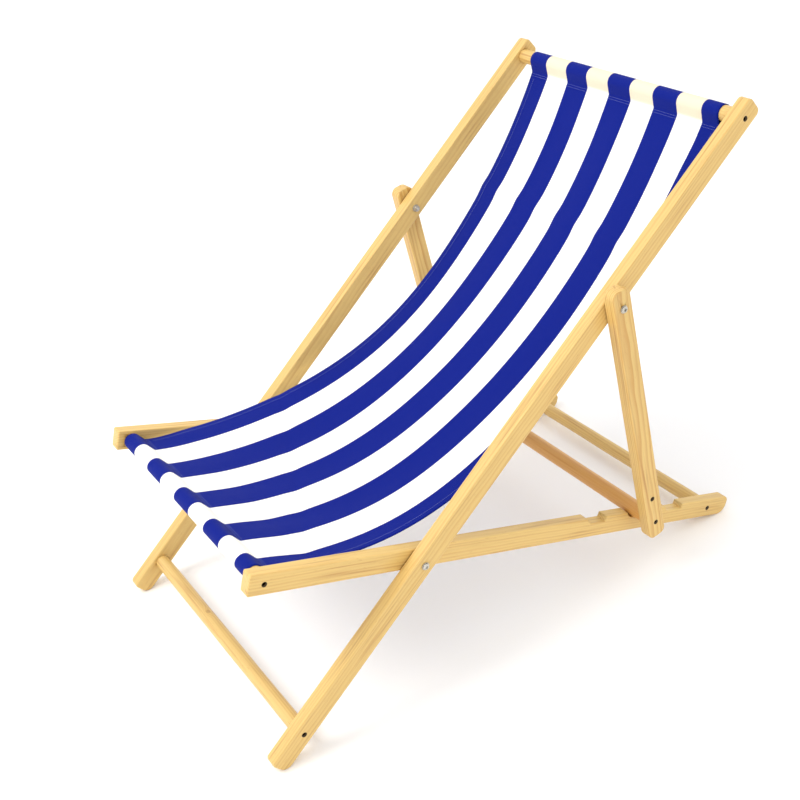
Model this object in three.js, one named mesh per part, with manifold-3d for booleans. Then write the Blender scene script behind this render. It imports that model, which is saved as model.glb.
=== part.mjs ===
// Folding beach deckchair: three hinged wooden frames and a striped canvas sling.
// Millimetres, +Z up. X runs across the chair, -Y is the front (knee end), +Y the rear.
// The origin is on the floor, under the middle of the chair's box.
//
// In side view each frame has its own axes, which start at its pivot: "along" runs along the
// rail and "across" stands square to it. The long rails and the seat rails start at the main
// pivot, and the strut's legs at the strut pivot.

import * as THREE from 'three';
import { mergeVertices } from 'three/addons/utils/BufferGeometryUtils.js';
import Module from 'manifold-3d';

const wasm = await Module();
wasm.setup();

// ------------------------------------------------------------ driving dimensions: timber
const RAIL_DEPTH = 35;            // rail section, in side view
const RAIL_THICK = 22;            // rail section, across the chair
const ARRIS = 2;                  // rounding of every long edge
const OVER_LONG_RAILS = 560;      // outside width of the back frame
const SIDE_GAP = 2;               // between neighbouring rails, where a washer sits
const BACK_TILT = 38.8;           // long rails above the floor, degrees
const DOWEL_R = 12.5;             // four 25 mm dowels
const CROSSBAR_R = 14;            // one 28 mm bar
const TENON_R = 9;
const TENON_LENGTH = 12;
const FIT_GAP = 0.3;              // clearance between pieces that touch

// Places along the long rail, from the main pivot
const TOP_DOWEL_AT = 835;
const FOOT_DOWEL_AT = -315;
const LONG_RAIL_TOP = 863;
const LONG_RAIL_FOOT = -380;
const FOOT_ROUND = 14;            // the corner that stands on the floor
const STRUT_PIVOT_AT = 489;

// Places along the seat rail, from the main pivot
const FRONT_DOWEL_AT = -264;
const REAR_DOWEL_AT = 663;
const SEAT_RAIL_FRONT = -289;
const SEAT_RAIL_REAR = 715;
const REAR_ROUND = 20;            // the corner that stands on the floor
const CROSSBAR_AT = 470;          // in the middle notch
const NOTCH_WALLS_AT = [399, 494, 589];
const NOTCH_DEPTH = 9;
const NOTCH_FLOOR = 31;
const NOTCH_RAMP = 12;

// Places along the strut's leg, from the strut pivot
const LEG_TOP = -33;
const LEG_PAST_CROSSBAR = 32;
const SPARE_HOLE_BEFORE_CROSSBAR = 54;

// ------------------------------------------------------------ driving dimensions: sling
const SLING_WIDTH = 460;
const SLING_THICK = 1.6;
const HEM_WALL = 1.8;
const SLING_BACK_PULL = [-349, -163];     // curve handle from the top dowel, in the back's axes
const SLING_SEAT_PULL = [398, 1];         // curve handle from the front dowel, in the seat's axes
const SLING_STEPS = 36;

// ------------------------------------------------------------ driving dimensions: hardware
const SCREW = { length: 38, shank: 2, head: 3.8, cone: 2.6, bore: 4.2, hole: 2.3, sunk: 4 };
const BOLT = { shank: 3, hole: 3.3, head: 5.5, headHigh: 2.6, tail: 2 };
const WASHER = { outer: 6.5, inner: 3.3, thick: SIDE_GAP - 2 * FIT_GAP };
const NUT = { acrossCorners: 11.5, thick: 5 };
const DOWEL_SIDES = 24;
const BORE_SIDES = 16;
const SMALL_SIDES = 12;           // of a screw, bolt or washer

// ------------------------------------------------------------ derived places
const HALF = RAIL_DEPTH / 2;
const FACE = RAIL_THICK / 2;
const LONG_X = OVER_LONG_RAILS / 2 - FACE;
const SEAT_X = LONG_X - RAIL_THICK - SIDE_GAP;
const LEG_X = LONG_X + RAIL_THICK + SIDE_GAP;
const SIDES = [{ name: 'left', sign: -1 }, { name: 'right', sign: 1 }];

// A side-view axis system. at() gives a point from its along and across distances, and turn
// carries a piece made along local X, across local Y and through local Z into the chair.
function sideAxes(origin, angle) {
  const along = new THREE.Vector2(Math.cos(angle), Math.sin(angle));
  const across = new THREE.Vector2(-along.y, along.x);
  const at = (a, c = 0) => origin.clone().addScaledVector(along, a).addScaledVector(across, c);
  const turn = new THREE.Matrix4().makeBasis(
    new THREE.Vector3(0, along.x, along.y),
    new THREE.Vector3(0, across.x, across.y),
    new THREE.Vector3(1, 0, 0),
  );
  return { origin, at, turn };
}

// The main pivot is at the height that puts the long rail's rounded foot on the floor.
const backAngle = THREE.MathUtils.degToRad(BACK_TILT);
const footArc = { along: LONG_RAIL_FOOT + FOOT_ROUND, across: -HALF + FOOT_ROUND };
const pivotHeight = FOOT_ROUND
  - footArc.along * Math.sin(backAngle)
  - footArc.across * Math.cos(backAngle);
const back = sideAxes(new THREE.Vector2(0, pivotHeight), backAngle);

// The seat rails slope down to the rear until their rounded rear corner is on the floor too.
const rearArc = { along: SEAT_RAIL_REAR - REAR_ROUND, across: -HALF + REAR_ROUND };
const seatDrop = Math.asin((pivotHeight - REAR_ROUND) / Math.hypot(rearArc.along, rearArc.across))
  + Math.atan2(rearArc.across, rearArc.along);
const seat = sideAxes(back.origin, -seatDrop);

// The crossbar lies on the floor of the middle notch, and the strut reaches down to it.
const crossbarCentre = seat.at(CROSSBAR_AT, HALF - NOTCH_DEPTH + FIT_GAP + CROSSBAR_R);
const strutPivot = back.at(STRUT_PIVOT_AT);
const strutLine = crossbarCentre.clone().sub(strutPivot);
const strutLength = strutLine.length();
const strut = sideAxes(strutPivot, Math.atan2(strutLine.y, strutLine.x));

// ------------------------------------------------------------ materials
const pine = new THREE.MeshStandardMaterial({ color: 0xe6c47e, roughness: 0.55, metalness: 0 });
const brownPine = new THREE.MeshStandardMaterial({ color: 0xc3823c, roughness: 0.55, metalness: 0 });
const canvas = new THREE.MeshStandardMaterial({ color: 0x1b2da5, roughness: 0.9, metalness: 0 });
const steel = new THREE.MeshStandardMaterial({ color: 0xa9acb0, roughness: 0.35, metalness: 1 });

// ------------------------------------------------------------ building blocks
function toSolid(geometry) {
  const bare = geometry.clone();
  bare.deleteAttribute('normal');
  bare.deleteAttribute('uv');
  const merged = mergeVertices(bare, 1e-4);
  return new wasm.Manifold(new wasm.Mesh({
    numProp: 3,
    vertProperties: new Float32Array(merged.attributes.position.array),
    triVerts: new Uint32Array(merged.index.array),
  }));
}

function toGeometry(solid) {
  const mesh = solid.getMesh();
  const geometry = new THREE.BufferGeometry();
  geometry.setAttribute('position', new THREE.BufferAttribute(mesh.vertProperties, 3));
  geometry.setIndex(new THREE.BufferAttribute(mesh.triVerts, 1));
  geometry.computeVertexNormals();
  return geometry;
}

function cutAway(geometry, cutters) {
  const solid = cutters.reduce((left, cutter) => left.subtract(toSolid(cutter)), toSolid(geometry));
  return toGeometry(solid);
}

// A turned piece about local Z. The profile's points are [radius, z], from low z to high z.
function turned(profile, sides) {
  const points = profile.map(([radius, z]) => new THREE.Vector2(radius, z));
  return new THREE.LatheGeometry(points, sides).rotateX(Math.PI / 2);
}

// Turns a piece made for the right-hand side end for end, for the left-hand side.
function forSide(geometry, sign) {
  return sign < 0 ? geometry.rotateX(Math.PI) : geometry;
}

const chair = new THREE.Group();

// Adds one named piece, made in a frame's side-view axes, with local Z centred at x.
function addPiece(name, geometry, material, axes, x, along = 0, across = 0) {
  const mesh = new THREE.Mesh(geometry, material);
  const place = axes.at(along, across);
  mesh.name = name;
  mesh.setRotationFromMatrix(axes.turn);
  mesh.position.set(x, place.x, place.y);
  chair.add(mesh);
}

// ------------------------------------------------------------ rails and legs
// A rail's outline in side view. rounds gives the corner roundings, and each notch is cut into
// the high edge: a short ramp at the front, a flat floor, and a steep rear wall.
function railShape(from, to, rounds, notchWalls = []) {
  const { farLow, farHigh, nearHigh, nearLow } = rounds;
  const floor = HALF - NOTCH_DEPTH;
  const shape = new THREE.Shape();
  shape.moveTo(from + nearLow, -HALF);
  shape.lineTo(to - farLow, -HALF);
  shape.absarc(to - farLow, -HALF + farLow, farLow, -Math.PI / 2, 0, false);
  shape.lineTo(to, HALF - farHigh);
  shape.absarc(to - farHigh, HALF - farHigh, farHigh, 0, Math.PI / 2, false);
  for (const wall of [...notchWalls].reverse()) {
    const ramp = wall - NOTCH_FLOOR;
    shape.lineTo(wall + 1, HALF);
    shape.lineTo(wall, floor + 1);
    shape.lineTo(wall - 1, floor);
    shape.lineTo(ramp, floor);
    shape.quadraticCurveTo(ramp - NOTCH_RAMP / 2, floor, ramp - NOTCH_RAMP, HALF);
  }
  shape.lineTo(from + nearHigh, HALF);
  shape.absarc(from + nearHigh, HALF - nearHigh, nearHigh, Math.PI / 2, Math.PI, false);
  shape.lineTo(from, -HALF + nearLow);
  shape.absarc(from + nearLow, -HALF + nearLow, nearLow, Math.PI, 1.5 * Math.PI, false);
  return shape;
}

function railGeometry(shape, cutters) {
  const blank = new THREE.ExtrudeGeometry(shape, {
    depth: RAIL_THICK - 2 * ARRIS,
    bevelThickness: ARRIS,
    bevelSize: ARRIS,
    bevelOffset: -ARRIS,
    bevelSegments: 2,
    curveSegments: 4,
  });
  blank.translate(0, 0, -FACE + ARRIS);
  return cutAway(blank, cutters);
}

// The cutter for one dowel end and its screw: a socket for the tenon in the inner face, a
// clearance hole, and a sunk bore for the screw's head in the outer face.
function dowelSeat(along, sign) {
  const socket = -FACE + TENON_LENGTH + FIT_GAP;
  const cutter = turned([
    [0, -FACE - 1],
    [TENON_R + FIT_GAP, -FACE - 1],
    [TENON_R + FIT_GAP, socket],
    [SCREW.hole, socket],
    [SCREW.hole, FACE - SCREW.sunk - SCREW.cone],
    [SCREW.bore, FACE - SCREW.sunk],
    [SCREW.bore, FACE + 1],
    [0, FACE + 1],
  ], BORE_SIDES);
  return forSide(cutter, sign).translate(along, 0, 0);
}

// The cutter for a screw hole that is drilled from the outer face and left empty.
function spareHole(along, sign) {
  const cutter = turned([
    [0, 0],
    [SCREW.hole, 0],
    [SCREW.hole, FACE - SCREW.sunk - SCREW.cone],
    [SCREW.bore, FACE - SCREW.sunk],
    [SCREW.bore, FACE + 1],
    [0, FACE + 1],
  ], BORE_SIDES);
  return forSide(cutter, sign).translate(along, 0, 0);
}

function boltHole(along) {
  const profile = [[0, -FACE - 1], [BOLT.hole, -FACE - 1], [BOLT.hole, FACE + 1], [0, FACE + 1]];
  return turned(profile, BORE_SIDES).translate(along, 0, 0);
}

const longRailShape = railShape(LONG_RAIL_FOOT, LONG_RAIL_TOP, {
  farLow: 10, farHigh: 8, nearHigh: 8, nearLow: FOOT_ROUND,
});
const seatRailShape = railShape(SEAT_RAIL_FRONT, SEAT_RAIL_REAR, {
  farLow: REAR_ROUND, farHigh: 9, nearHigh: 3, nearLow: 3,
}, NOTCH_WALLS_AT);
const legShape = railShape(LEG_TOP, strutLength + LEG_PAST_CROSSBAR, {
  farLow: 11, farHigh: 11, nearHigh: 13, nearLow: 13,
});

for (const { name, sign } of SIDES) {
  addPiece(`long_rail_${name}`, railGeometry(longRailShape, [
    dowelSeat(TOP_DOWEL_AT, sign),
    dowelSeat(FOOT_DOWEL_AT, sign),
    boltHole(0),
    boltHole(STRUT_PIVOT_AT),
  ]), pine, back, sign * LONG_X);
  addPiece(`seat_rail_${name}`, railGeometry(seatRailShape, [
    dowelSeat(FRONT_DOWEL_AT, sign),
    dowelSeat(REAR_DOWEL_AT, sign),
    boltHole(0),
  ]), pine, seat, sign * SEAT_X);
  addPiece(`strut_leg_${name}`, railGeometry(legShape, [
    dowelSeat(strutLength, sign),
    spareHole(strutLength - SPARE_HOLE_BEFORE_CROSSBAR, sign),
    boltHole(0),
  ]), pine, strut, sign * LEG_X);
}

// ------------------------------------------------------------ dowels and crossbar
// A round bar between two rails at x = +-railX: a tenon at each end, with a pilot hole in it.
function dowelGeometry(radius, railX) {
  const shoulder = railX - FACE - FIT_GAP;
  const end = shoulder + TENON_LENGTH;
  const pilot = railX + FACE - SCREW.sunk - SCREW.length - 2;
  return turned([
    [0, -pilot],
    [SCREW.hole, -pilot],
    [SCREW.hole, -end],
    [TENON_R, -end],
    [TENON_R, -shoulder],
    [radius - 1, -shoulder],
    [radius, -shoulder + 1],
    [radius, shoulder - 1],
    [radius - 1, shoulder],
    [TENON_R, shoulder],
    [TENON_R, end],
    [SCREW.hole, end],
    [SCREW.hole, pilot],
    [0, pilot],
  ], DOWEL_SIDES);
}

// A countersunk wood screw for the right-hand side, with its head's face at z = 0.
function screwGeometry() {
  return turned([
    [0, -SCREW.length],
    [SCREW.shank, -SCREW.length + 4],
    [SCREW.shank, -SCREW.cone],
    [SCREW.head, -0.4],
    [SCREW.head, 0],
    [0, 0],
  ], SMALL_SIDES);
}

const bars = [
  { name: 'top_dowel', screw: 'top_screw', axes: back, along: TOP_DOWEL_AT, x: LONG_X },
  { name: 'foot_dowel', screw: 'foot_screw', axes: back, along: FOOT_DOWEL_AT, x: LONG_X },
  { name: 'front_dowel', screw: 'front_screw', axes: seat, along: FRONT_DOWEL_AT, x: SEAT_X },
  { name: 'rear_dowel', screw: 'rear_screw', axes: seat, along: REAR_DOWEL_AT, x: SEAT_X },
  { name: 'crossbar', screw: 'crossbar_screw', axes: strut, along: strutLength, x: LEG_X },
];

for (const bar of bars) {
  const isCrossbar = bar.name === 'crossbar';
  const radius = isCrossbar ? CROSSBAR_R : DOWEL_R;
  const timber = isCrossbar ? brownPine : pine;
  addPiece(bar.name, dowelGeometry(radius, bar.x), timber, bar.axes, 0, bar.along);
  for (const { name, sign } of SIDES) {
    const headX = sign * (bar.x + FACE - SCREW.sunk + FIT_GAP);
    addPiece(`${bar.screw}_${name}`, forSide(screwGeometry(), sign), steel, bar.axes, headX, bar.along);
  }
}

// ------------------------------------------------------------ pivot bolts, washers and nuts
function washerGeometry() {
  const rim = WASHER.thick / 2;
  return turned([
    [WASHER.inner, -rim],
    [WASHER.outer, -rim],
    [WASHER.outer, rim],
    [WASHER.inner, rim],
    [WASHER.inner, -rim],
  ], SMALL_SIDES);
}

// A bolt for the right-hand side: its head's underside is at z = 0, its tail at -reach.
function boltGeometry(reach) {
  return turned([
    [0, -reach],
    [BOLT.shank - 0.6, -reach],
    [BOLT.shank, -reach + 0.6],
    [BOLT.shank, 0],
    [BOLT.head, 0],
    [BOLT.head, BOLT.headHigh * 0.4],
    [BOLT.head * 0.7, BOLT.headHigh],
    [0, BOLT.headHigh],
  ], SMALL_SIDES);
}

function nutGeometry() {
  const shape = new THREE.Shape();
  for (let corner = 0; corner < 6; corner += 1) {
    const angle = corner * Math.PI / 3;
    const x = Math.cos(angle) * NUT.acrossCorners / 2;
    const y = Math.sin(angle) * NUT.acrossCorners / 2;
    if (corner === 0) {
      shape.moveTo(x, y);
    } else {
      shape.lineTo(x, y);
    }
  }
  shape.closePath();
  shape.holes.push(new THREE.Path().absarc(0, 0, BOLT.hole, 0, 2 * Math.PI, true));
  const nut = new THREE.ExtrudeGeometry(shape, {
    depth: NUT.thick, bevelEnabled: false, curveSegments: SMALL_SIDES / 2,
  });
  return nut.translate(0, 0, -NUT.thick / 2);
}

// One pivot on each side. outer and inner are the middles, in X, of the two bars it joins.
function addPivot(name, along, outer, inner) {
  const outerFace = outer + FACE;
  const innerFace = inner - FACE;
  const step = WASHER.thick + FIT_GAP;
  const headWasher = outerFace + FIT_GAP + WASHER.thick / 2;
  const headSeat = outerFace + step + FIT_GAP;
  const tailWasher = innerFace - FIT_GAP - WASHER.thick / 2;
  const nutX = innerFace - step - FIT_GAP - NUT.thick / 2;
  const reach = headSeat - nutX + NUT.thick / 2 + BOLT.tail;
  for (const side of SIDES) {
    const put = (piece, geometry, x) => {
      addPiece(`${name}_${piece}_${side.name}`, geometry, steel, back, side.sign * x, along);
    };
    put('bolt', forSide(boltGeometry(reach), side.sign), headSeat);
    put('head_washer', washerGeometry(), headWasher);
    put('spacer_washer', washerGeometry(), (outer + inner) / 2);
    put('nut_washer', washerGeometry(), tailWasher);
    put('nut', nutGeometry(), nutX);
  }
}

addPivot('main_pivot', 0, LONG_X, SEAT_X);
addPivot('strut_pivot', STRUT_PIVOT_AT, LEG_X, LONG_X);

// ------------------------------------------------------------ sling
// The sling hangs on one cubic curve between the axes of the top and front dowels, and ends in
// a round pocket about each of them. It is made as a side-view outline, extruded across.
function slingGeometry() {
  const toPlane = (axes, [a, c]) => axes.at(a, c).sub(axes.origin);
  const top = back.at(TOP_DOWEL_AT);
  const front = seat.at(FRONT_DOWEL_AT);
  const curve = new THREE.CubicBezierCurve(
    top,
    top.clone().add(toPlane(back, SLING_BACK_PULL)),
    front.clone().add(toPlane(seat, SLING_SEAT_PULL)),
    front,
  );
  const pocket = DOWEL_R + FIT_GAP;
  const hem = pocket + HEM_WALL;
  const half = SLING_THICK / 2;
  const length = curve.getLength();
  const sides = { upper: [], lower: [] };
  for (let step = 0; step <= SLING_STEPS; step += 1) {
    const run = hem - 0.2 + (length - 2 * hem + 0.4) * step / SLING_STEPS;
    const point = curve.getPointAt(run / length);
    const tangent = curve.getTangentAt(run / length);
    const normal = new THREE.Vector2(tangent.y, -tangent.x);
    sides.upper.push(point.clone().addScaledVector(normal, half));
    sides.lower.push(point.clone().addScaledVector(normal, -half));
  }
  const ringAround = (centre, from, to) => {
    const start = Math.atan2(from.y - centre.y, from.x - centre.x);
    const sweep = 2 * Math.PI - 2 * Math.asin(half / hem);
    const direction = Math.sign((from.x - centre.x) * (to.y - centre.y)
      - (from.y - centre.y) * (to.x - centre.x));
    const points = [];
    for (let step = 1; step < DOWEL_SIDES; step += 1) {
      const angle = start - direction * sweep * step / DOWEL_SIDES;
      points.push(new THREE.Vector2(centre.x + hem * Math.cos(angle), centre.y + hem * Math.sin(angle)));
    }
    return points;
  };
  const outline = [
    ...sides.upper,
    ...ringAround(front, sides.upper[SLING_STEPS], sides.lower[SLING_STEPS]),
    ...[...sides.lower].reverse(),
    ...ringAround(top, sides.lower[0], sides.upper[0]),
  ];
  const shape = new THREE.Shape(outline);
  for (const centre of [top, front]) {
    shape.holes.push(new THREE.Path().absarc(centre.x, centre.y, pocket, 0, 2 * Math.PI, true));
  }
  const strip = new THREE.ExtrudeGeometry(shape, {
    depth: SLING_WIDTH, bevelEnabled: false, curveSegments: DOWEL_SIDES / 2,
  });
  return strip.translate(0, 0, -SLING_WIDTH / 2);
}

const level = sideAxes(new THREE.Vector2(0, 0), 0);
addPiece('sling', slingGeometry(), canvas, level, 0);

// ------------------------------------------------------------ origin
chair.updateMatrixWorld(true);
const box = new THREE.Box3().setFromObject(chair, true);
chair.position.set(0, -(box.min.y + box.max.y) / 2, -box.min.z);

export default chair;
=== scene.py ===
import math

import bmesh
import bpy
import numpy as np
from mathutils import Matrix, Vector


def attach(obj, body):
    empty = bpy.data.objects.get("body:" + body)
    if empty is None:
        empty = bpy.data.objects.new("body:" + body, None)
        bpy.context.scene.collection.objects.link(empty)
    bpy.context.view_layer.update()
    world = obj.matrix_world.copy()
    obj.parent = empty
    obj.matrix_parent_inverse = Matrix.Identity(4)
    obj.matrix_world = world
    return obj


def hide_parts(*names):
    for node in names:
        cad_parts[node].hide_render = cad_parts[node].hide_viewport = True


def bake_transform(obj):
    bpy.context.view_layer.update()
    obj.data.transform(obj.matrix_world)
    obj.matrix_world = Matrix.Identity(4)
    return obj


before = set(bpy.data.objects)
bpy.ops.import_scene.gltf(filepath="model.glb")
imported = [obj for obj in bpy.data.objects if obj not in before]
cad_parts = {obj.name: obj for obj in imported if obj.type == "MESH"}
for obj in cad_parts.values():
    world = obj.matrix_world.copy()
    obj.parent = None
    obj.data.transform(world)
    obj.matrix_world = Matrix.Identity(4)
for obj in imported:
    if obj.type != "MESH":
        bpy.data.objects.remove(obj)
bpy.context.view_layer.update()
print("frame loaded")


# Places on the chair, in metres.
# A side-view axis system: along a rail from its pivot, across it, and through it (X).
def sideAxes(pivot, degrees):
    angle = math.radians(degrees)
    return {
        "pivot": np.array(pivot),
        "along": np.array([0, math.cos(angle), math.sin(angle)]),
        "across": np.array([0, -math.sin(angle), math.cos(angle)]),
    }


def placeAt(axes, along, across=0.0):
    return axes["pivot"] + along * axes["along"] + across * axes["across"]


mainPivot = (0, -0.187800, 0.246031)
strutPivot = (0, 0.193296, 0.552441)
crossbarPlace = (0, 0.263582, 0.113090)
back = sideAxes(mainPivot, 38.8)
seat = sideAxes(mainPivot, -19.188)
strut = sideAxes(strutPivot, math.degrees(math.atan2(
    crossbarPlace[2] - strutPivot[2], crossbarPlace[1] - strutPivot[1])))
chair = {
    "halfDepth": 0.0175,      # half of a rail's depth and thickness
    "halfThick": 0.011,
    "longX": 0.269,           # middles of the rails and legs
    "seatX": 0.245,
    "legX": 0.293,
    "topDowelAt": 0.835,
    "footDowelAt": -0.315,
    "frontDowelAt": -0.264,
    "rearDowelAt": 0.663,
    "dowelRadius": 0.0125,
    "crossbarRadius": 0.014,
    "screwSunk": 0.0037,
    "screwBore": 0.0042,
    "spareHoleBefore": 0.054,  # an empty screw hole in each leg, this far before the crossbar's
    "strutLength": math.hypot(0.263582 - 0.193296, 0.552441 - 0.113090),
}
sides = (("left", -1), ("right", 1))


# Camera, floor and light.
view = {
    "position": (1.50398, -0.89509, 1.41176),
    "yaw": 60.28,             # degrees, turned from +Y towards -X
    "pitch": 31.52,           # down
    "roll": -7.0,
    "lens": 53.81,
}


def makeCamera():
    yaw, pitch, roll = (math.radians(view[key]) for key in ("yaw", "pitch", "roll"))
    forward = np.array([
        -math.sin(yaw) * math.cos(pitch), math.cos(yaw) * math.cos(pitch), -math.sin(pitch)])
    level = np.array([math.cos(yaw), math.sin(yaw), 0])
    upright = np.cross(level, forward)
    right = math.cos(roll) * level + math.sin(roll) * upright
    up = math.cos(roll) * upright - math.sin(roll) * level
    lens = bpy.data.cameras.new("camera")
    lens.lens = view["lens"]
    lens.sensor_width = 36
    lens.clip_start, lens.clip_end = 0.05, 60
    camera = bpy.data.objects.new("camera", lens)
    turn = np.eye(4)
    turn[:3, 0], turn[:3, 1], turn[:3, 2], turn[:3, 3] = right, up, -forward, view["position"]
    camera.matrix_world = Matrix(turn.tolist())
    bpy.context.collection.objects.link(camera)
    bpy.context.scene.camera = camera


makeCamera()

studio = {
    "floorSize": 30,
    "floorColour": (0.97, 0.97, 0.97),
    "skyColour": (1.0, 1.0, 1.0),
    "skyStrength": 1.15,
    "key": {"power": 50, "size": 1.6, "at": (-0.5, -2.0, 2.9), "to": (0, -0.2, 0.2)},
    "fill": {"power": 2, "size": 2.5, "at": (3.2, 0.6, 1.8), "to": (0, 0, 0.3)},
}


# An sRGB colour, 0 to 255, as the linear one that shader sockets take.
def linear(red, green, blue):
    def one(value):
        value /= 255
        return value / 12.92 if value <= 0.04045 else ((value + 0.055) / 1.055) ** 2.4
    return (one(red), one(green), one(blue), 1.0)


class Shader:
    # One node material. Its methods add a node and give back the socket to use next.
    def __init__(self, name):
        self.material = bpy.data.materials.new(name)
        self.material.use_nodes = True
        self.tree = self.material.node_tree
        self.tree.nodes.clear()

    def add(self, kind, inputs=None, **settings):
        node = self.tree.nodes.new(kind)
        for key, value in settings.items():
            setattr(node, key, value)
        for key, value in (inputs or {}).items():
            self.feed(node.inputs[key], value)
        return node

    def feed(self, socket, value):
        if isinstance(value, bpy.types.NodeSocket):
            self.tree.links.new(value, socket)
        else:
            socket.default_value = value

    def maths(self, operation, *values):
        return self.add("ShaderNodeMath", dict(enumerate(values)), operation=operation).outputs[0]

    def vector(self, operation, *values):
        node = self.add("ShaderNodeVectorMath", dict(enumerate(values)), operation=operation)
        return node.outputs["Value" if operation in ("DOT_PRODUCT", "LENGTH") else "Vector"]

    def noise(self, place, scale=1.0, detail=2.0, roughness=0.5):
        inputs = {"Vector": place, "Scale": scale, "Detail": detail, "Roughness": roughness}
        return self.add("ShaderNodeTexNoise", inputs).outputs[0]

    # 0 below low, 1 above high, smooth between
    def step(self, value, low, high):
        inputs = {0: value, 1: low, 2: high, 3: 0.0, 4: 1.0}
        return self.add("ShaderNodeMapRange", inputs, interpolation_type="SMOOTHSTEP").outputs[0]

    def mix(self, amount, first, second, blend="MIX"):
        inputs = {0: amount, 6: first, 7: second}
        return self.add("ShaderNodeMix", inputs, data_type="RGBA", blend_type=blend).outputs[2]

    def join(self, x, y, z):
        return self.add("ShaderNodeCombineXYZ", {0: x, 1: y, 2: z}).outputs[0]

    # a colour made lighter or darker by a number around 1
    def shade(self, colour, amount):
        return self.mix(1.0, colour, self.join(amount, amount, amount), "MULTIPLY")

    def bump(self, height, distance, strength=1.0, normal=None):
        inputs = {"Height": height, "Distance": distance, "Strength": strength}
        if normal is not None:
            inputs["Normal"] = normal
        return self.add("ShaderNodeBump", inputs).outputs[0]

    def finish(self, **inputs):
        names = {key.replace("_", " "): value for key, value in inputs.items()}
        surface = self.add("ShaderNodeBsdfPrincipled", names)
        output = self.add("ShaderNodeOutputMaterial")
        self.tree.links.new(surface.outputs[0], output.inputs["Surface"])
        return self.material


pine = {
    "pale": linear(215, 181, 110),
    "late": linear(190, 140, 70),
    "dark": linear(162, 108, 52),
    # a more orange-brown colour, mixed in by a piece's warm share (the crossbar's)
    "orangeBrown": linear(206, 138, 62),
    "holeShadeAndGrime": linear(44, 26, 14),
    # painted shade for the screw holes, with a little grime
    "resin": linear(160, 98, 42),
    "knot": linear(140, 84, 38),
    "ringGap": 0.0042,
    "drift": 0.016,            # how far the rings wander, slowly and quickly
    "waver": 0.0022,
    "knotBulge": 0.006,        # how far a knot pushes the rings aside
    "fleckAmount": 0.45,
    "knotAmount": 0.4,
    "rough": 0.44,
    "reliefDeep": 0.00009,
}


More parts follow.
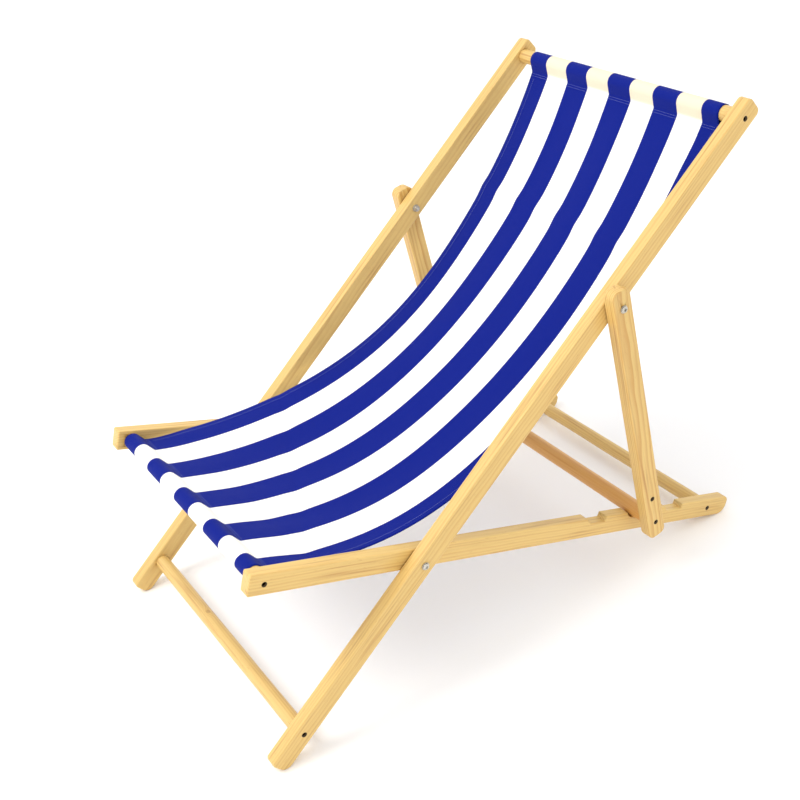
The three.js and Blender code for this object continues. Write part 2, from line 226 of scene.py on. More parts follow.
# Grain of a sawn or turned bar. Growth rings are circles about a pith line that runs beside the
# bar and leans against it a little: ring = distance from the pith / ring gap. Fine fibres,
# broad streaks, resin flecks, knots and paler worn edges lie over them.
def timberMaterial(name, axes, centre, pith, lean=(0.012, -0.008), tone=1.0, warm=0.0, rings=0.42,
                   knots=(), holes=(), outward=1, edges=True):
    s = Shader(name)
    place = s.vector("SUBTRACT", s.add("ShaderNodeTexCoord").outputs["Object"], tuple(centre))
    along = s.vector("DOT_PRODUCT", place, tuple(axes[0]))
    across = s.vector("DOT_PRODUCT", place, tuple(axes[1]))
    through = s.vector("DOT_PRODUCT", place, tuple(axes[2]))
    bar = s.join(along, across, through)
    drift = s.noise(s.vector("MULTIPLY", bar, (2.6, 9.0, 9.0)), detail=3)
    waver = s.noise(s.vector("MULTIPLY", bar, (9.0, 40.0, 40.0)), detail=2)
    ringAcross = s.maths("ADD", s.maths("MULTIPLY_ADD", along, lean[0], pith[0]), across)
    ringThrough = s.maths("ADD", s.maths("MULTIPLY_ADD", along, lean[1], pith[1]), through)
    radius = s.vector("LENGTH", s.join(ringAcross, ringThrough, 0.0))
    radius = s.maths("MULTIPLY_ADD", drift, pine["drift"], radius)
    radius = s.maths("MULTIPLY_ADD", waver, pine["waver"], radius)
    knotMask = 0.0
    for knotAlong, knotAcross, knotThrough, size in knots:
        offset = s.vector("SUBTRACT", bar, (knotAlong, knotAcross, knotThrough))
        reach = s.vector("LENGTH", s.vector("MULTIPLY", offset, (0.75, 1.0, 1.0)))
        bulge = s.step(reach, size * 4.5, size * 0.6)
        radius = s.maths("MULTIPLY_ADD", bulge, pine["knotBulge"], radius)
        spot = s.step(s.maths("MULTIPLY_ADD", waver, size * 0.5, reach), size * 1.55, size * 0.95)
        knotMask = s.maths("MAXIMUM", knotMask, spot)
    ring = s.maths("FRACT", s.maths("DIVIDE", radius, pine["ringGap"]))
    year = s.maths("FLOOR", s.maths("DIVIDE", radius, pine["ringGap"]))
    yearDark = s.add("ShaderNodeTexWhiteNoise", {"W": year}, noise_dimensions="1D").outputs[0]
    late = s.maths("MULTIPLY", s.step(ring, 0.30, 0.86), s.step(ring, 1.0, 0.93))
    late = s.maths("MULTIPLY", late, s.maths("MULTIPLY_ADD", yearDark, 0.75, 0.35))
    fibre = s.noise(s.vector("MULTIPLY", bar, (26.0, 1500.0, 1500.0)), detail=2)
    streak = s.noise(s.vector("MULTIPLY", bar, (5.0, 170.0, 170.0)), detail=3)
    blotch = s.noise(s.vector("MULTIPLY", bar, (3.5, 22.0, 22.0)), detail=2)
    fleck = s.step(s.noise(s.vector("MULTIPLY", bar, (70.0, 900.0, 900.0)), detail=1), 0.70, 0.78)
    colour = s.mix(s.maths("MULTIPLY", late, rings), pine["pale"], pine["late"])
    colour = s.mix(s.step(streak, 0.52, 0.86), colour, pine["dark"])
    colour = s.mix(s.maths("MULTIPLY", fleck, pine["fleckAmount"]), colour, pine["resin"])
    colour = s.mix(warm, colour, pine["orangeBrown"])
    if knots:
        colour = s.mix(s.maths("MULTIPLY", knotMask, pine["knotAmount"]), colour, pine["knot"])
    light = s.maths("MULTIPLY_ADD", fibre, 0.22, 0.835)
    light = s.maths("MULTIPLY_ADD", blotch, 0.16, light)
    if edges:
        fromLow = s.maths("SUBTRACT", chair["halfDepth"], s.maths("ABSOLUTE", across))
        fromSide = s.maths("SUBTRACT", chair["halfThick"], s.maths("ABSOLUTE", through))
        edge = s.step(s.maths("MAXIMUM", fromLow, fromSide), 0.0032, 0.0010)
        worn = s.maths("MULTIPLY", edge, s.step(streak, 0.35, 0.6))
        light = s.maths("MULTIPLY_ADD", worn, 0.10, light)
    colour = s.shade(colour, s.maths("MULTIPLY", light, tone))
    for hole in holes:         # painted shade in the screw holes, with a little grime, on the outer side only
        offset = s.vector("SUBTRACT", s.join(along, across, 0.0), (hole, 0.0, 0.0))
        reach = s.vector("LENGTH", offset)
        inside = s.step(reach, chair["screwBore"] + 0.0006, chair["screwBore"])
        outer = s.step(s.maths("MULTIPLY", through, outward), 0.0, 0.002)
        inside = s.maths("MULTIPLY", inside, outer)
        colour = s.mix(s.maths("MULTIPLY", inside, 0.92), colour, pine["holeShadeAndGrime"])
    rough = s.maths("MULTIPLY_ADD", fibre, 0.16, pine["rough"] - 0.08)
    rough = s.maths("MULTIPLY_ADD", late, -0.06, rough)
    relief = s.maths("MULTIPLY_ADD", late, 0.6, s.maths("MULTIPLY", fibre, 0.8))
    normal = s.bump(relief, pine["reliefDeep"], 0.6)
    return s.finish(
        Base_Color=colour, Roughness=rough, Normal=normal, Coat_Weight=0.12, Coat_Roughness=0.3,
        Specular_IOR_Level=0.4)


# Steel with fine scratches along X and duller patches of tarnish.
def steelMaterial(name, colour, rough, tarnished):
    s = Shader(name)
    place = s.add("ShaderNodeTexCoord").outputs["Object"]
    scratch = s.noise(s.vector("MULTIPLY", place, (300.0, 2600.0, 2600.0)), detail=3)
    patch = s.noise(place, scale=210.0, detail=3)
    tarnish = s.step(patch, 0.45, 0.75)
    base = s.mix(s.maths("MULTIPLY", tarnish, 0.5), colour, tarnished)
    shine = s.maths("MULTIPLY_ADD", scratch, 0.22, rough)
    shine = s.maths("MULTIPLY_ADD", tarnish, 0.15, shine)
    return s.finish(
        Base_Color=base, Metallic=1.0, Roughness=shine, Normal=s.bump(scratch, 0.00006, 0.6))


cloth = {
    "width": 0.460,            # the cut, edge to edge
    "thick": 0.0012,
    "blue": linear(2, 25, 126),
    "white": linear(250, 248, 240),
    # painted shade: the white on the top dowel's loops, dimmed and tinted cream for the wood showing
    # through
    "paintedCreamShade": linear(234, 220, 194),
    "patternShift": 0.005,     # the stripes' middle from the cloth's middle, towards +X
    "whiteBands": ((0.0271, 0.0813), (0.1355, 0.1897)),   # from the stripes' middle
    "bandWobble": 0.0008,      # how unevenly the bands' edges run, and how softly they end
    "bandSoft": 0.0003,
    "threadPitch": 0.00085,
    "weaveDeep": 0.00022,
    "slubDeep": 0.00025,
}


# Canvas. The stripes are bands of the distance from the cloth's middle line. The weave is a plain
# one: where sin(u) * sin(v) is above zero the warp thread is on top, elsewhere the weft.
def canvasMaterial(loopEnd):
    s = Shader("striped_canvas")
    uv = s.add("ShaderNodeUVMap", uv_map="cut").outputs[0]
    split = s.add("ShaderNodeSeparateXYZ", {0: uv}).outputs
    u, v = split[0], split[1]
    wobble = s.noise(s.vector("MULTIPLY", uv, (60.0, 420.0, 0.0)), detail=1)
    middle, soft = cloth["width"] / 2 + cloth["patternShift"], cloth["bandSoft"]
    fromMiddle = s.maths("ABSOLUTE", s.maths("SUBTRACT", u, middle))
    fromMiddle = s.maths("MULTIPLY_ADD", s.maths("SUBTRACT", wobble, 0.5), cloth["bandWobble"], fromMiddle)
    white = 0.0
    for low, high in cloth["whiteBands"]:
        band = s.maths("MULTIPLY", s.step(fromMiddle, low - soft, low + soft),
                       s.step(fromMiddle, high + soft, high - soft))
        white = s.maths("MAXIMUM", white, band)
    turn = math.pi / cloth["threadPitch"]
    warp = s.maths("SINE", s.maths("MULTIPLY", u, turn))
    weft = s.maths("SINE", s.maths("MULTIPLY", v, turn))
    over = s.maths("GREATER_THAN", s.maths("MULTIPLY", warp, weft), 0.0)
    warpHigh = s.maths("MULTIPLY", s.maths("ABSOLUTE", warp), over)
    weftHigh = s.maths("MULTIPLY", s.maths("ABSOLUTE", weft), s.maths("SUBTRACT", 1.0, over))
    weave = s.maths("ADD", warpHigh, s.maths("MULTIPLY", weftHigh, 0.8))
    slub = s.noise(s.vector("MULTIPLY", uv, (1500.0, 60.0, 0.0)), detail=2)
    slubAcross = s.noise(s.vector("MULTIPLY", uv, (45.0, 1300.0, 0.0)), detail=2)
    cloudy = s.noise(s.vector("MULTIPLY", uv, (11.0, 7.0, 0.0)), detail=3)
    # painted shade: the white on the top dowel's loops is dimmed and tinted cream, for the wood seen
    # through the cloth and the weaker light there
    whiteWithPaintedShade = s.mix(s.step(v, loopEnd, loopEnd - 0.008), cloth["white"], cloth["paintedCreamShade"])
    colour = s.mix(white, cloth["blue"], whiteWithPaintedShade)
    light = s.maths("MULTIPLY_ADD", weave, 0.14, 0.84)
    light = s.maths("MULTIPLY_ADD", slub, 0.10, light)
    light = s.maths("MULTIPLY_ADD", slubAcross, 0.10, light)
    light = s.maths("MULTIPLY_ADD", cloudy, 0.05, light)
    colour = s.shade(colour, light)
    normal = s.bump(weave, cloth["weaveDeep"], 0.7)
    normal = s.bump(s.maths("ADD", slub, slubAcross), cloth["slubDeep"], 0.4, normal)
    return s.finish(
        Base_Color=colour, Roughness=0.86, Normal=normal, Sheen_Weight=0.04, Sheen_Roughness=0.5,
        Specular_IOR_Level=0.12)


def threadMaterial():
    s = Shader("sewing_thread")
    place = s.add("ShaderNodeTexCoord").outputs["Object"]
    wave = s.add("ShaderNodeTexWave", {"Vector": place, "Scale": 900.0, "Distortion": 1.5})
    twist = wave.outputs[1]
    colour = s.mix(twist, linear(104, 112, 162), linear(140, 146, 186))
    return s.finish(Base_Color=colour, Roughness=0.7, Normal=s.bump(twist, 0.00008, 0.6))


# The pale floor, the even sky and the two soft lamps.
def makeStage():
    half = studio["floorSize"] / 2
    mesh = bpy.data.meshes.new("floor")
    corners = [(-half, -half, 0), (half, -half, 0), (half, half, 0), (-half, half, 0)]
    mesh.from_pydata(corners, [], [(0, 1, 2, 3)])
    floor = bpy.data.objects.new("floor", mesh)
    bpy.context.collection.objects.link(floor)
    s = Shader("pale_floor")
    place = s.add("ShaderNodeTexCoord").outputs["Object"]
    speck = s.noise(place, scale=6.0, detail=2)
    colour = s.shade((*studio["floorColour"], 1.0), s.maths("MULTIPLY_ADD", speck, 0.02, 0.99))
    mesh.materials.append(s.finish(Base_Color=colour, Roughness=0.7, Specular_IOR_Level=0.2))
    world = bpy.data.worlds.new("sky")
    world.use_nodes = True
    sky = world.node_tree.nodes["Background"]
    sky.inputs[0].default_value = (*studio["skyColour"], 1.0)
    sky.inputs[1].default_value = studio["skyStrength"]
    bpy.context.scene.world = world
    for name in ("key", "fill"):
        lamp = studio[name]
        light = bpy.data.lights.new(name, "AREA")
        light.shape = "DISK"
        light.size = lamp["size"]
        light.energy = lamp["power"]
        holder = bpy.data.objects.new(name, light)
        towards = Vector(lamp["to"]) - Vector(lamp["at"])
        turn = towards.to_track_quat("-Z", "Y").to_matrix().to_4x4()
        holder.matrix_world = Matrix.Translation(lamp["at"]) @ turn
        bpy.context.collection.objects.link(holder)


makeStage()
bpy.context.scene.view_settings.view_transform = "Standard"
print("camera, floor and light made")


# A mesh from points (n, 3) and quads (m, 4), shaded smooth.
def meshPiece(name, points, quads, material, smooth=True):
    mesh = bpy.data.meshes.new(name)
    mesh.from_pydata(points.reshape(-1, 3).tolist(), [], quads.reshape(-1, 4).tolist())
    mesh.polygons.foreach_set("use_smooth", [smooth] * len(mesh.polygons))
    mesh.materials.append(material)
    mesh.update()
    piece = bpy.data.objects.new(name, mesh)
    bpy.context.collection.objects.link(piece)
    return piece


# Quads of a grid of rows x columns points; wrapped closes it round the columns.
def gridQuads(rows, columns, wrapped=False):
    index = np.arange(rows * columns).reshape(rows, columns)
    right = np.roll(index, -1, axis=1)
    quads = np.stack([index[:-1], right[:-1], right[1:], index[1:]], axis=-1)
    return quads if wrapped else quads[:, :-1]


# A turned piece along X from a profile of (x, radius) points, as radius * (cos, sin) round the
# axis through (0, y, z). Its ends close on one point each.
def turnedPoints(profile, sidesAround, wave=None):
    profile = np.array(profile)
    angle = np.linspace(0, 2 * math.pi, sidesAround, endpoint=False)
    radius = np.repeat(profile[:, 1:2], sidesAround, axis=1)
    if wave is not None:
        radius = radius + wave(profile[:, :1], angle[None, :]) * (radius > 1e-5)
    x = np.repeat(profile[:, 0:1], sidesAround, axis=1)
    return np.stack([x, radius * np.cos(angle), radius * np.sin(angle)], axis=-1)


def weld(piece, distance=1e-6):
    shell = bmesh.new()
    shell.from_mesh(piece.data)
    bmesh.ops.remove_doubles(shell, verts=shell.verts, dist=distance)
    bmesh.ops.dissolve_degenerate(shell, edges=shell.edges, dist=distance)
    bmesh.ops.recalc_face_normals(shell, faces=shell.faces)
    shell.to_mesh(piece.data)
    shell.free()
    piece.data.update()


def sharpen(piece, degrees):
    piece.data.polygons.foreach_set("use_smooth", [True] * len(piece.data.polygons))
    piece.data.set_sharp_from_angle(angle=math.radians(degrees))


# Rails and legs: the frame's own shapes, welded, with soft shading over the eased edges.
grainOf = {
    "long_rail_right": {"pith": (0.030, -0.052), "lean": (0.010, 0.006), "tone": 1.0},
    "long_rail_left": {"pith": (-0.026, 0.060), "lean": (-0.012, 0.010), "tone": 1.0},
    "seat_rail_right": {"pith": (0.055, 0.030), "lean": (0.006, -0.010), "tone": 1.02},
    "seat_rail_left": {"pith": (0.040, -0.034), "lean": (-0.014, 0.010), "tone": 1.0,
                       "knots": ((0.06, -0.003, -0.010, 0.005),)},
    "strut_leg_right": {"pith": (0.018, -0.058), "lean": (0.016, 0.004), "rings": 0.75},
    "strut_leg_left": {"pith": (-0.022, 0.046), "lean": (0.012, -0.006), "rings": 0.75},
}
strutLength, spareBefore = chair["strutLength"], chair["spareHoleBefore"]
railFrames = {                 # axes, middle, moving body, and its screw holes along it
    "long_rail": (
        back, chair["longX"], "back_frame", (chair["topDowelAt"], chair["footDowelAt"])),
    "seat_rail": (
        seat, chair["seatX"], "seat_frame", (chair["frontDowelAt"], chair["rearDowelAt"])),
    "strut_leg": (
        strut, chair["legX"], "strut_frame", (strutLength, strutLength - spareBefore)),
}


def makeRail(kind, side, sign):
    node = f"{kind}_{side}"
    axes, x, body, holes = railFrames[kind]
    centre = axes["pivot"] + np.array([sign * x, 0, 0])
    directions = (axes["along"], axes["across"], np.array([1.0, 0, 0]))
    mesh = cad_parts[node].data.copy()
    mesh.name = f"{node}_timber"
    piece = bpy.data.objects.new(f"{node}_timber", mesh)
    bpy.context.collection.objects.link(piece)
    mesh.materials.clear()
    mesh.materials.append(timberMaterial(
        f"pine_{node}", directions, centre, holes=holes, outward=sign, **grainOf[node]))
    weld(piece, 2e-6)
    sharpen(piece, 50)
    even = piece.modifiers.new("even_shading", "WEIGHTED_NORMAL")
    even.keep_sharp = True
    even.weight = 100
    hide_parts(node)
    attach(piece, body)


for kind in railFrames:
    for side, sign in sides:
        makeRail(kind, side, sign)
print("rails and legs made")


bars = {
    "top_dowel": {
        "place": placeAt(back, chair["topDowelAt"]), "railX": chair["longX"], "body": "back_frame",
        "pith": (0.030, 0.012), "tone": 1.0},
    "foot_dowel": {
        "place": placeAt(back, chair["footDowelAt"]), "railX": chair["longX"], "body": "back_frame",
        "pith": (0.016, -0.010), "tone": 1.0,
        "knots": ((0.115, 0.008, -0.009, 0.0045), (-0.06, 0.002, 0.012, 0.0035))},
    "front_dowel": {
        "place": placeAt(seat, chair["frontDowelAt"]), "railX": chair["seatX"], "body": "seat_frame",
        "pith": (-0.024, 0.008), "tone": 1.0},
    "rear_dowel": {
        "place": placeAt(seat, chair["rearDowelAt"]), "railX": chair["seatX"], "body": "seat_frame",
        "pith": (0.020, 0.020), "tone": 0.96},
    "crossbar": {
        "place": np.array(crossbarPlace), "railX": chair["legX"], "body": "strut_frame",
        "pith": (0.012, 0.022), "tone": 1.0, "warm": 0.62},
}
turning = {"around": 48, "along": 61, "shy": 0.0003, "ease": 0.0012, "waver": 0.00012}


# A bar's radius runs the same all along, a turner's hair thicker and thinner:
# radius + waver * sin(30 x + 2 angle), and it is rounded over at the shoulders.
def makeBar(name, bar):
    radius = chair["crossbarRadius" if name == "crossbar" else "dowelRadius"]
    end = bar["railX"] - chair["halfThick"] - turning["shy"]
    ease = turning["ease"]
    bend = np.linspace(0, math.pi / 2, 5)
    shoulder = np.array([end - ease, radius - ease]) + ease * np.stack([np.sin(bend), np.cos(bend)], axis=1)
    stations = np.linspace(-end + ease, end - ease, turning["along"])[1:-1]
    middle = np.stack([stations, np.full(len(stations), radius)], axis=1)
    cap = np.array([[end, 0.0]])
    left = np.concatenate([shoulder, cap])[::-1] * np.array([-1, 1])
    profile = np.concatenate([left, middle, shoulder, cap])

    def waver(x, angle):
        return turning["waver"] * np.sin(30 * x + 2 * angle) * (np.abs(x) < end - ease)
    points = turnedPoints(profile, turning["around"], waver) + bar["place"]
    grain = {key: bar[key] for key in ("pith", "tone", "warm", "knots") if key in bar}
    directions = (np.array([1.0, 0, 0]), np.array([0, 1.0, 0]), np.array([0, 0, 1.0]))
    material = timberMaterial(
        f"pine_{name}", directions, bar["place"], lean=(0.006, -0.004), edges=False, **grain)
    quads = gridQuads(len(profile), turning["around"], True)
    piece = meshPiece(f"{name}_turned", points, quads, material)
    weld(piece)
    sharpen(piece, 60)
    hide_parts(name)
    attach(piece, bar["body"])


for name, bar in bars.items():
    makeBar(name, bar)
print("dowels and crossbar made")


zinc = steelMaterial("zinc_steel", linear(204, 200, 190), 0.34, linear(140, 132, 118))
darkSteel = steelMaterial("dark_steel", linear(26, 18, 12), 0.6, linear(44, 32, 24))
screw = {
    "length": 0.038, "point": 0.004, "shank": 0.0018, "neck": 0.0020, "head": 0.0038, "rim": 0.0004,
    "cone": 0.0026, "crossHalf": 0.00055, "crossReach": 0.0023, "crossDeep": 0.0016,
}


# A screw or bolt with its head towards +X, on the X axis. rings are (x, radius) points from the
# tail to the head's rim. The head's face is a disc of rings; a cross recess is pressed into it:
# depth * (how far inside either arm of the cross).
def driveHead(rings, faceX, dome, recess, sidesAround=48):
    rim = rings[-1][1]
    inward = np.linspace(1, 0, 22)[1:]
    face = np.stack([faceX + dome * (1 - inward ** 2), inward * rim], axis=1)
    profile = np.concatenate([np.array(rings), face])
    points = turnedPoints(profile, sidesAround)
    y, z = points[..., 1], points[..., 2]
    half, reach = recess["crossHalf"], recess["crossReach"]

    def arm(side, length):
        narrow = np.clip((half - side) / 0.0002 + 1, 0, 1)
        return narrow * np.clip((reach - length) / 0.0005 + 1, 0, 1)
    pressed = np.maximum(arm(np.abs(y), np.abs(z)), arm(np.abs(z), np.abs(y)))
    pressed[:len(rings)] = 0
    points[..., 0] -= pressed * recess["crossDeep"]
    return points


def steelPiece(name, points, place, sign, turn, material, body, nodes):
    angle = math.radians(turn)
    y, z = points[..., 1].copy(), points[..., 2].copy()
    points = np.stack([
        points[..., 0] * sign,
        y * math.cos(angle) - z * math.sin(angle),
        y * math.sin(angle) + z * math.cos(angle)], axis=-1) + place
    piece = meshPiece(name, points, gridQuads(points.shape[0], points.shape[1], True), material)
    weld(piece, 1e-6)
    sharpen(piece, 40)
    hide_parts(*nodes)
    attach(piece, body)


randomTurns = np.random.default_rng(7)


def makeScrew(name, bar):
    length, shank, cone = screw["length"], screw["shank"], screw["cone"]
    rings = [(-length, 0.0), (screw["point"] - length, shank), (-cone - 0.0004, shank),
             (-cone, screw["neck"]), (-screw["rim"], screw["head"]), (0.0, screw["head"])]
    for side, sign in sides:
        points = driveHead(rings, 0.0, 0.0, screw)
        headX = bar["railX"] + chair["halfThick"] - chair["screwSunk"]
        spot = bar["place"] + np.array([sign * headX, 0, 0])
        turn = float(randomTurns.uniform(0, 90))
        steelPiece(f"{name}_{side}_head", points, spot, sign, turn, darkSteel, bar["body"],
                   [f"{name}_{side}"])


screwPlaces = {
    "top_screw": "top_dowel", "foot_screw": "foot_dowel", "front_screw": "front_dowel",
    "rear_screw": "rear_dowel", "crossbar_screw": "crossbar",
}
for name, barName in screwPlaces.items():
    makeScrew(name, bars[barName])

bolt = {
    "gap": 0.0003, "washer": 0.0014, "shank": 0.0029, "head": 0.0055, "headFace": 0.0019,
    "headDome": 0.0007, "tail": 0.002, "crossHalf": 0.0007, "crossReach": 0.0024, "crossDeep": 0.0018,
    "nut": 0.005, "nutRadius": 0.00575, "nutBore": 0.0030, "nutChamfer": 0.0007,
    "washerRadius": 0.0065, "washerBore": 0.0033, "washerEase": 0.0003, "around": 48,
}


# A washer: a ring with eased rims, its profile closed on itself.
def washerPoints(thick):
    inner, outer, ease = bolt["washerBore"], bolt["washerRadius"], bolt["washerEase"]
    half = thick / 2
    profile = [(-half, inner), (-half, outer - ease), (-half + ease, outer), (half - ease, outer),
               (half, outer - ease), (half, inner), (-half, inner)]
    return turnedPoints(profile, bolt["around"])


# A hexagonal nut: a turned profile whose radius is pulled in to the flats,
# radius * cos(30) / cos(angle from the nearest flat's middle), with its corners turned down.
def nutPoints():
    half, bore, chamfer = bolt["nut"] / 2, bolt["nutBore"], bolt["nutChamfer"]
    across = bolt["nutRadius"]
    profile = [(-half, bore), (-half, across * 0.90), (-half + chamfer, across),
               (half - chamfer, across), (half, across * 0.90), (half, bore), (-half, bore)]
    points = turnedPoints(profile, bolt["around"])
    angle = np.arctan2(points[..., 2], points[..., 1])
    fromFlat = np.abs((angle + math.pi / 6) % (math.pi / 3) - math.pi / 6)
    flat = across * math.cos(math.pi / 6) / np.cos(fromFlat)
    radius = np.hypot(points[..., 1], points[..., 2])
    kept = np.minimum(radius, flat) / np.maximum(radius, 1e-9)
    points[..., 1:] *= kept[..., None]
    return points


def makePivot(name, place, outer, inner):
    outerFace, innerFace = outer + chair["halfThick"], inner - chair["halfThick"]
    step = bolt["washer"] + bolt["gap"]
    headSeat = outerFace + step + bolt["gap"]
    headWasher = outerFace + bolt["gap"] + bolt["washer"] / 2
    tailWasher = innerFace - bolt["gap"] - bolt["washer"] / 2
    nutX = innerFace - step - bolt["gap"] - bolt["nut"] / 2
    reach = headSeat - nutX + bolt["nut"] / 2 + bolt["tail"]
    shank, head, face = bolt["shank"], bolt["head"], bolt["headFace"]
    rings = [(-reach, 0.0), (-reach, shank - 0.0006), (-reach + 0.0006, shank), (-0.0002, shank),
             (0.0, shank + 0.0002), (0.0, head - 0.0003), (0.0003, head), (0.0008, head),
             (0.0014, head - 0.0004), (face, head - 0.0011)]
    for side, sign in sides:
        def put(part, points, x, turn=0.0):
            spot = place + np.array([sign * x, 0, 0])
            steelPiece(f"{name}_{part}_{side}_metal", points, spot, sign, turn, zinc, "back_frame",
                       [f"{name}_{part}_{side}"])
        headPoints = driveHead(rings, face, bolt["headDome"], bolt)
        put("bolt", headPoints, headSeat, float(randomTurns.uniform(0, 90)))
        put("head_washer", washerPoints(bolt["washer"]), headWasher)
        put("spacer_washer", washerPoints(bolt["washer"]), (outer + inner) / 2)
        put("nut_washer", washerPoints(bolt["washer"]), tailWasher)
        put("nut", nutPoints(), nutX, float(randomTurns.uniform(0, 60)))


makePivot("main_pivot", np.array(mainPivot), chair["longX"], chair["seatX"])
makePivot("strut_pivot", np.array(strutPivot), chair["legX"], chair["longX"])
print("screws and bolts made")


sling = {
    "topHalf": 0.230,          # half of the cloth's width at the top dowel and at the front dowel
    "frontHalf": 0.2275,
    "topShift": 0.0075,        # the cloth's middle from the chair's at the top and at the front
    "frontShift": -0.0034,
    "backPull": (-0.349, -0.163),     # handles of its hanging curve, from the two dowels
    "seatPull": (0.398, 0.001),
    "loopRadius": 0.0134,      # of the cloth's middle round a dowel
    "stitchAt": 0.0225,        # the seam's distance from the dowel's axis
    "nearSeam": 0.03,          # where the hanging part begins, past a seam
    "hemFlap": 0.014,          # the cloth that runs on under the sling past the seam
    "columns": 97,
    "twistFront": 0.012,       # over the seat the right edge hangs this much lower,
                               # and the left as much higher
    "twistBack": -0.0035,      # the same on the back, the other way round
    "belly": 0.008,            # the middle hangs this much lower than the edges on back and seat
    "backLift": 0.008,         # the back as a whole lies this much higher than the plain curve
    "seatDrop": 0.002,         # the seat as a whole lies this much lower
    "hemPull": 0.005,          # the hems are drawn in this much at mid-length,
    "hemCurl": 0.012,          # and the right one curls up this much
    "fade": 0.08,              # the share at each end over which all this grows from nothing
    "ripple": 0.0010,
    "quickRipple": 0.0007,
    "gather": 0.0011,          # small puckers towards the front seam
}


# A cubic curve with four control points, as points at the shares t.
def cubic(t, p0, p1, p2, p3):
    t = t[:, None]
    return (1 - t) ** 3 * p0 + 3 * (1 - t) ** 2 * t * p1 + 3 * (1 - t) * t ** 2 * p2 + t ** 3 * p3


def runLength(path):
    return np.concatenate([[0], np.cumsum(np.linalg.norm(np.diff(path, axis=0), axis=1))])


def respaced(path, at):
    run = runLength(path)
    return np.stack([np.interp(at, run, path[:, axis]) for axis in range(path.shape[1])], axis=1)


# The pocket about a dowel, from the end of its hem flap to the seam: along the underside, round
# the dowel on a circle, and down the tangent to the seam. away points from the dowel into the
# sling, and above to its upper side.
def pocketPath(centre, away, above):
    radius, reach = sling["loopRadius"], sling["stitchAt"]
    half = math.acos(radius / reach)
    angle = np.linspace(-half, -2 * math.pi + half, 60)[:, None]
    ring = centre + radius * (np.cos(angle) * away + np.sin(angle) * above)
    under = -(cloth["thick"] + 0.0002) * above
    flap = centre + np.linspace(reach + sling["hemFlap"], reach, 8)[:, None] * away + under
    seam = (centre + reach * away)[None]
    return np.concatenate([flap, ring, seam])


# The sling's side view: pocket, hanging curve, pocket, as (y, z) points on the cloth's middle.
def slingPath():
    def flat(point):
        return np.array(point[1:])

    def pulled(point, axes, pull):
        return point + pull[0] * axes["along"][1:] + pull[1] * axes["across"][1:]
    top = flat(placeAt(back, chair["topDowelAt"]))
    front = flat(placeAt(seat, chair["frontDowelAt"]))
    topPull = pulled(top, back, sling["backPull"])
    frontPull = pulled(front, seat, sling["seatPull"])
    hang = cubic(np.linspace(0, 1, 1200), top, topPull, frontPull, front)
    run = runLength(hang)
    reach = sling["stitchAt"]
    kept = hang[(run > reach) & (run < run[-1] - reach)]

    def pocket(centre, towards):
        away = (towards - centre) / np.linalg.norm(towards - centre)
        above = np.array([away[1], -away[0]])
        above = above if above[1] > 0 else -above
        return pocketPath(centre, away, above)
    first = pocket(top, kept[0])
    last = pocket(front, kept[-1])[::-1]
    path = np.concatenate([first, kept, last])
    return path, runLength(first)[-1], runLength(path)[-1] - runLength(last)[-1]


# Softens a path's corners: each point becomes the mean of those near it, weighted by a bell
# of the given width in metres.
def softened(path, width, step):
    reach = int(3 * width / step)
    bell = np.exp(-0.5 * (np.arange(-reach, reach + 1) * step / width) ** 2)
    bell /= bell.sum()
    padded = np.concatenate([np.repeat(path[:1], reach, 0), path, np.repeat(path[-1:], reach, 0)])
    return np.stack([np.convolve(padded[:, axis], bell, "valid") for axis in range(2)], axis=1)


def smooth01(value):
    value = np.clip(value, 0, 1)
    return value * value * (3 - 2 * value)


rawPath, seamTop, seamFront = slingPath()
fineStep = 0.0005
total = runLength(rawPath)[-1]
fine = softened(respaced(rawPath, np.arange(0, total, fineStep)), 0.0013, fineStep)
total = runLength(fine)[-1]
nearSeam = sling["nearSeam"]
rows = np.concatenate([        # closer together round the dowels
    np.arange(0, seamTop + nearSeam, 0.0022),
    np.arange(seamTop + nearSeam, seamFront - nearSeam, 0.0050),
    np.linspace(seamFront - nearSeam, total, 62)])
creases = (
    {"at": seamTop + 0.224, "slant": 0.001, "high": 0.0022, "wide": 0.011},
    {"at": seamTop + 0.885, "slant": 0.10, "high": -0.0014, "wide": 0.010},
)
fineRun = runLength(fine)


# A hump of height 1 about a place, falling off as a bell of the given width.
def hump(share, place, width):
    return np.exp(-0.5 * ((share - place) / width) ** 2)


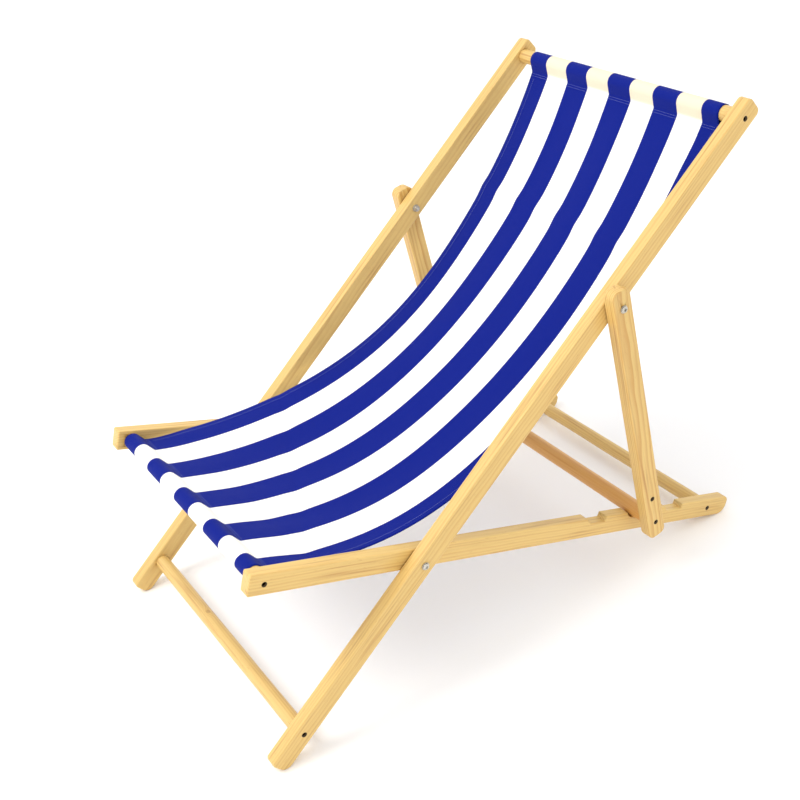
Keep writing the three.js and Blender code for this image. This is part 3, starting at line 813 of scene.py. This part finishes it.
# The sling's surface at shares u (-1 to 1) across and runs v along, for arrays that broadcast:
# x = shift + u * half width; the side path is let down square to itself by a drop:
# u * twist humps + (1 - u * u) * belly humps + a drop - a lift, with hems drawn in and curled,
# slow ripples and the creases of the packing folds, all fading out at the dowels.
def clothAt(u, v):
    u, v = np.broadcast_arrays(u, v)

    def onPath(run):
        return np.stack([np.interp(run, fineRun, fine[:, axis]) for axis in range(2)], axis=-1)
    tangent = onPath(np.minimum(v + 0.001, total)) - onPath(np.maximum(v - 0.001, 0))
    tangent /= np.linalg.norm(tangent, axis=-1)[..., None]
    square = np.stack([tangent[..., 1], -tangent[..., 0]], axis=-1)      # towards the upper side
    share = (v - seamTop) / (seamFront - seamTop)
    half = np.interp(smooth01((share - 0.3) / 0.3), (0, 1), (sling["topHalf"], sling["frontHalf"]))
    shift = np.interp(share, (0, 1), (sling["topShift"], sling["frontShift"]))
    free = smooth01(share / sling["fade"]) * smooth01((1 - share) / sling["fade"])
    overSeat, overBack = hump(share, 0.8, 0.13), hump(share, 0.24, 0.14)
    twist = sling["twistFront"] * overSeat + sling["twistBack"] * hump(share, 0.16, 0.1)
    belly = sling["belly"] * (hump(share, 0.2, 0.12) + hump(share, 0.75, 0.12))
    drop = u * twist + (1 - u ** 2) * belly
    drop = drop + sling["seatDrop"] * overSeat - sling["backLift"] * overBack
    hem = hump(share, 0.38, 0.13) * smooth01((np.abs(u) - 0.6) / 0.4)
    drop = drop - sling["hemCurl"] * hem * (u > 0)
    ripple = sling["ripple"] * np.sin(7.3 * u + 1.1) * np.sin(9.0 * share + 0.6)
    ripple = ripple + sling["quickRipple"] * np.sin(15.0 * u + 5 * share)
    gather = sling["gather"] * np.sin(26.0 * u + 0.8) * smooth01((share - 0.80) / 0.2)
    rise = (ripple + gather - drop) * free
    for crease in creases:
        off = (v - crease["at"] - crease["slant"] * u) / crease["wide"]
        rise = rise + crease["high"] * np.exp(-0.5 * off ** 2)
    sidePlace = onPath(v) + rise[..., None] * square
    x = shift + u * half - np.sign(u) * sling["hemPull"] * hem
    return np.stack([x, sidePlace[..., 0], sidePlace[..., 1]], axis=-1)


canvas = canvasMaterial(seamTop)
across = np.linspace(-1, 1, sling["columns"])
surface = clothAt(across[None, :], rows[:, None])
print("sling path", round(float(total), 4))


def makeSling():
    piece = meshPiece("sling_canvas", surface, gridQuads(len(rows), sling["columns"]), canvas)
    mesh = piece.data
    layer = mesh.uv_layers.new(name="cut")
    corner = np.empty(len(mesh.loops), dtype=np.int32)
    mesh.loops.foreach_get("vertex_index", corner)
    u = (across[corner % sling["columns"]] + 1) / 2 * cloth["width"]
    v = rows[corner // sling["columns"]]
    layer.data.foreach_set("uv", np.stack([u, v], axis=1).astype(np.float32).ravel())
    wall = piece.modifiers.new("thickness", "SOLIDIFY")
    wall.thickness = cloth["thick"]
    wall.offset = 0.0
    wall.use_even_offset = False
    return piece


slingPiece = makeSling()


stitch = {
    "length": 0.0026, "pitch": 0.0034, "thick": 0.00024, "lift": 0.00008,
    "rows": (0.0015, 0.0055),  # of each seam, past its line
    "fromHem": 0.010,          # the hem's row, from the cloth's edge
    "seamEnds": 0.006, "hemEnds": 0.012,
}


# One stitch is a small spindle: half * cos / sin of its rings, lying along a given direction.
def stitchesAlong(places, directions, normals, length):
    ring = np.linspace(0, 2 * math.pi, 6, endpoint=False)
    stations = np.array([-1.0, -0.8, 0.0, 0.8, 1.0])
    girth = np.array([0.05, 0.75, 1.0, 0.75, 0.05])
    sink = np.array([-0.9, -0.3, 0.0, -0.3, -0.9])
    side = np.cross(directions, normals)
    place = places[:, None, None, :]
    shape = place + (stations * length / 2)[None, :, None, None] * directions[:, None, None, :]
    radius = (girth * stitch["thick"])[None, :, None, None]
    shape = shape + radius * np.cos(ring)[None, None, :, None] * side[:, None, None, :]
    shape = shape + radius * np.sin(ring)[None, None, :, None] * normals[:, None, None, :]
    shape = shape + (sink * stitch["thick"])[None, :, None, None] * normals[:, None, None, :]
    count = len(places)
    quads = gridQuads(5, 6, True).reshape(-1, 4)
    every = (np.arange(count) * 30)[:, None, None] + quads[None]
    return shape.reshape(-1, 3), every.reshape(-1, 4)


# Places on the sling's upper face (or its under face) at shares u and runs v, with the cloth's
# two directions and its outward normal there.
def onSling(u, v, face=1.0):
    here = clothAt(u, v)
    widthways = clothAt(u + 0.004, v) - here
    lengthways = clothAt(u, v + 0.001) - here
    widthways /= np.linalg.norm(widthways, axis=1)[:, None]
    lengthways /= np.linalg.norm(lengthways, axis=1)[:, None]
    normal = np.cross(widthways, lengthways)
    normal /= np.linalg.norm(normal, axis=1)[:, None]
    normal *= np.where(normal[:, 2:3] > 0, 1.0, -1.0) * face
    here = here + normal * (cloth["thick"] / 2 + stitch["lift"])
    return here, widthways, lengthways, normal


def makeStitching():
    parts = []
    margin = stitch["seamEnds"] / sling["topHalf"]
    for seam in (seamTop, seamFront):
        inward = 1 if seam == seamTop else -1
        for offset in stitch["rows"]:
            u = np.arange(-1 + margin, 1 - margin, stitch["pitch"] / sling["topHalf"])
            v = np.full(len(u), seam + inward * offset)
            here, widthways, lengthways, normal = onSling(u, v)
            parts.append(stitchesAlong(here, widthways, normal, stitch["length"]))
            here, widthways, lengthways, normal = onSling(u, v, -1.0)
            here = here + normal * (cloth["thick"] + 0.0002)
            parts.append(stitchesAlong(here, widthways, normal, stitch["length"]))
    for edge in (-1, 1):
        v = np.arange(seamTop + stitch["hemEnds"], seamFront - stitch["hemEnds"], stitch["pitch"])
        u = np.full(len(v), edge * (1 - stitch["fromHem"] / sling["topHalf"]))
        for face in (1.0, -1.0):
            here, widthways, lengthways, normal = onSling(u, v, face)
            parts.append(stitchesAlong(here, lengthways, normal, stitch["length"]))
    points, quads, count = [], [], 0
    for shape, faces in parts:
        points.append(shape)
        quads.append(faces + count)
        count += len(shape)
    points, quads = np.concatenate(points), np.concatenate(quads)
    return meshPiece("sling_stitching", points, quads, threadMaterial())


stitching = makeStitching()
blendRuns = (seamTop + nearSeam, seamFront - nearSeam)
blendFrom, blendTo = (tuple(clothAt(0.0, run).tolist()) for run in blendRuns)
for piece in (slingPiece, stitching):
    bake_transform(piece)
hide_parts("sling")
print("sling made")
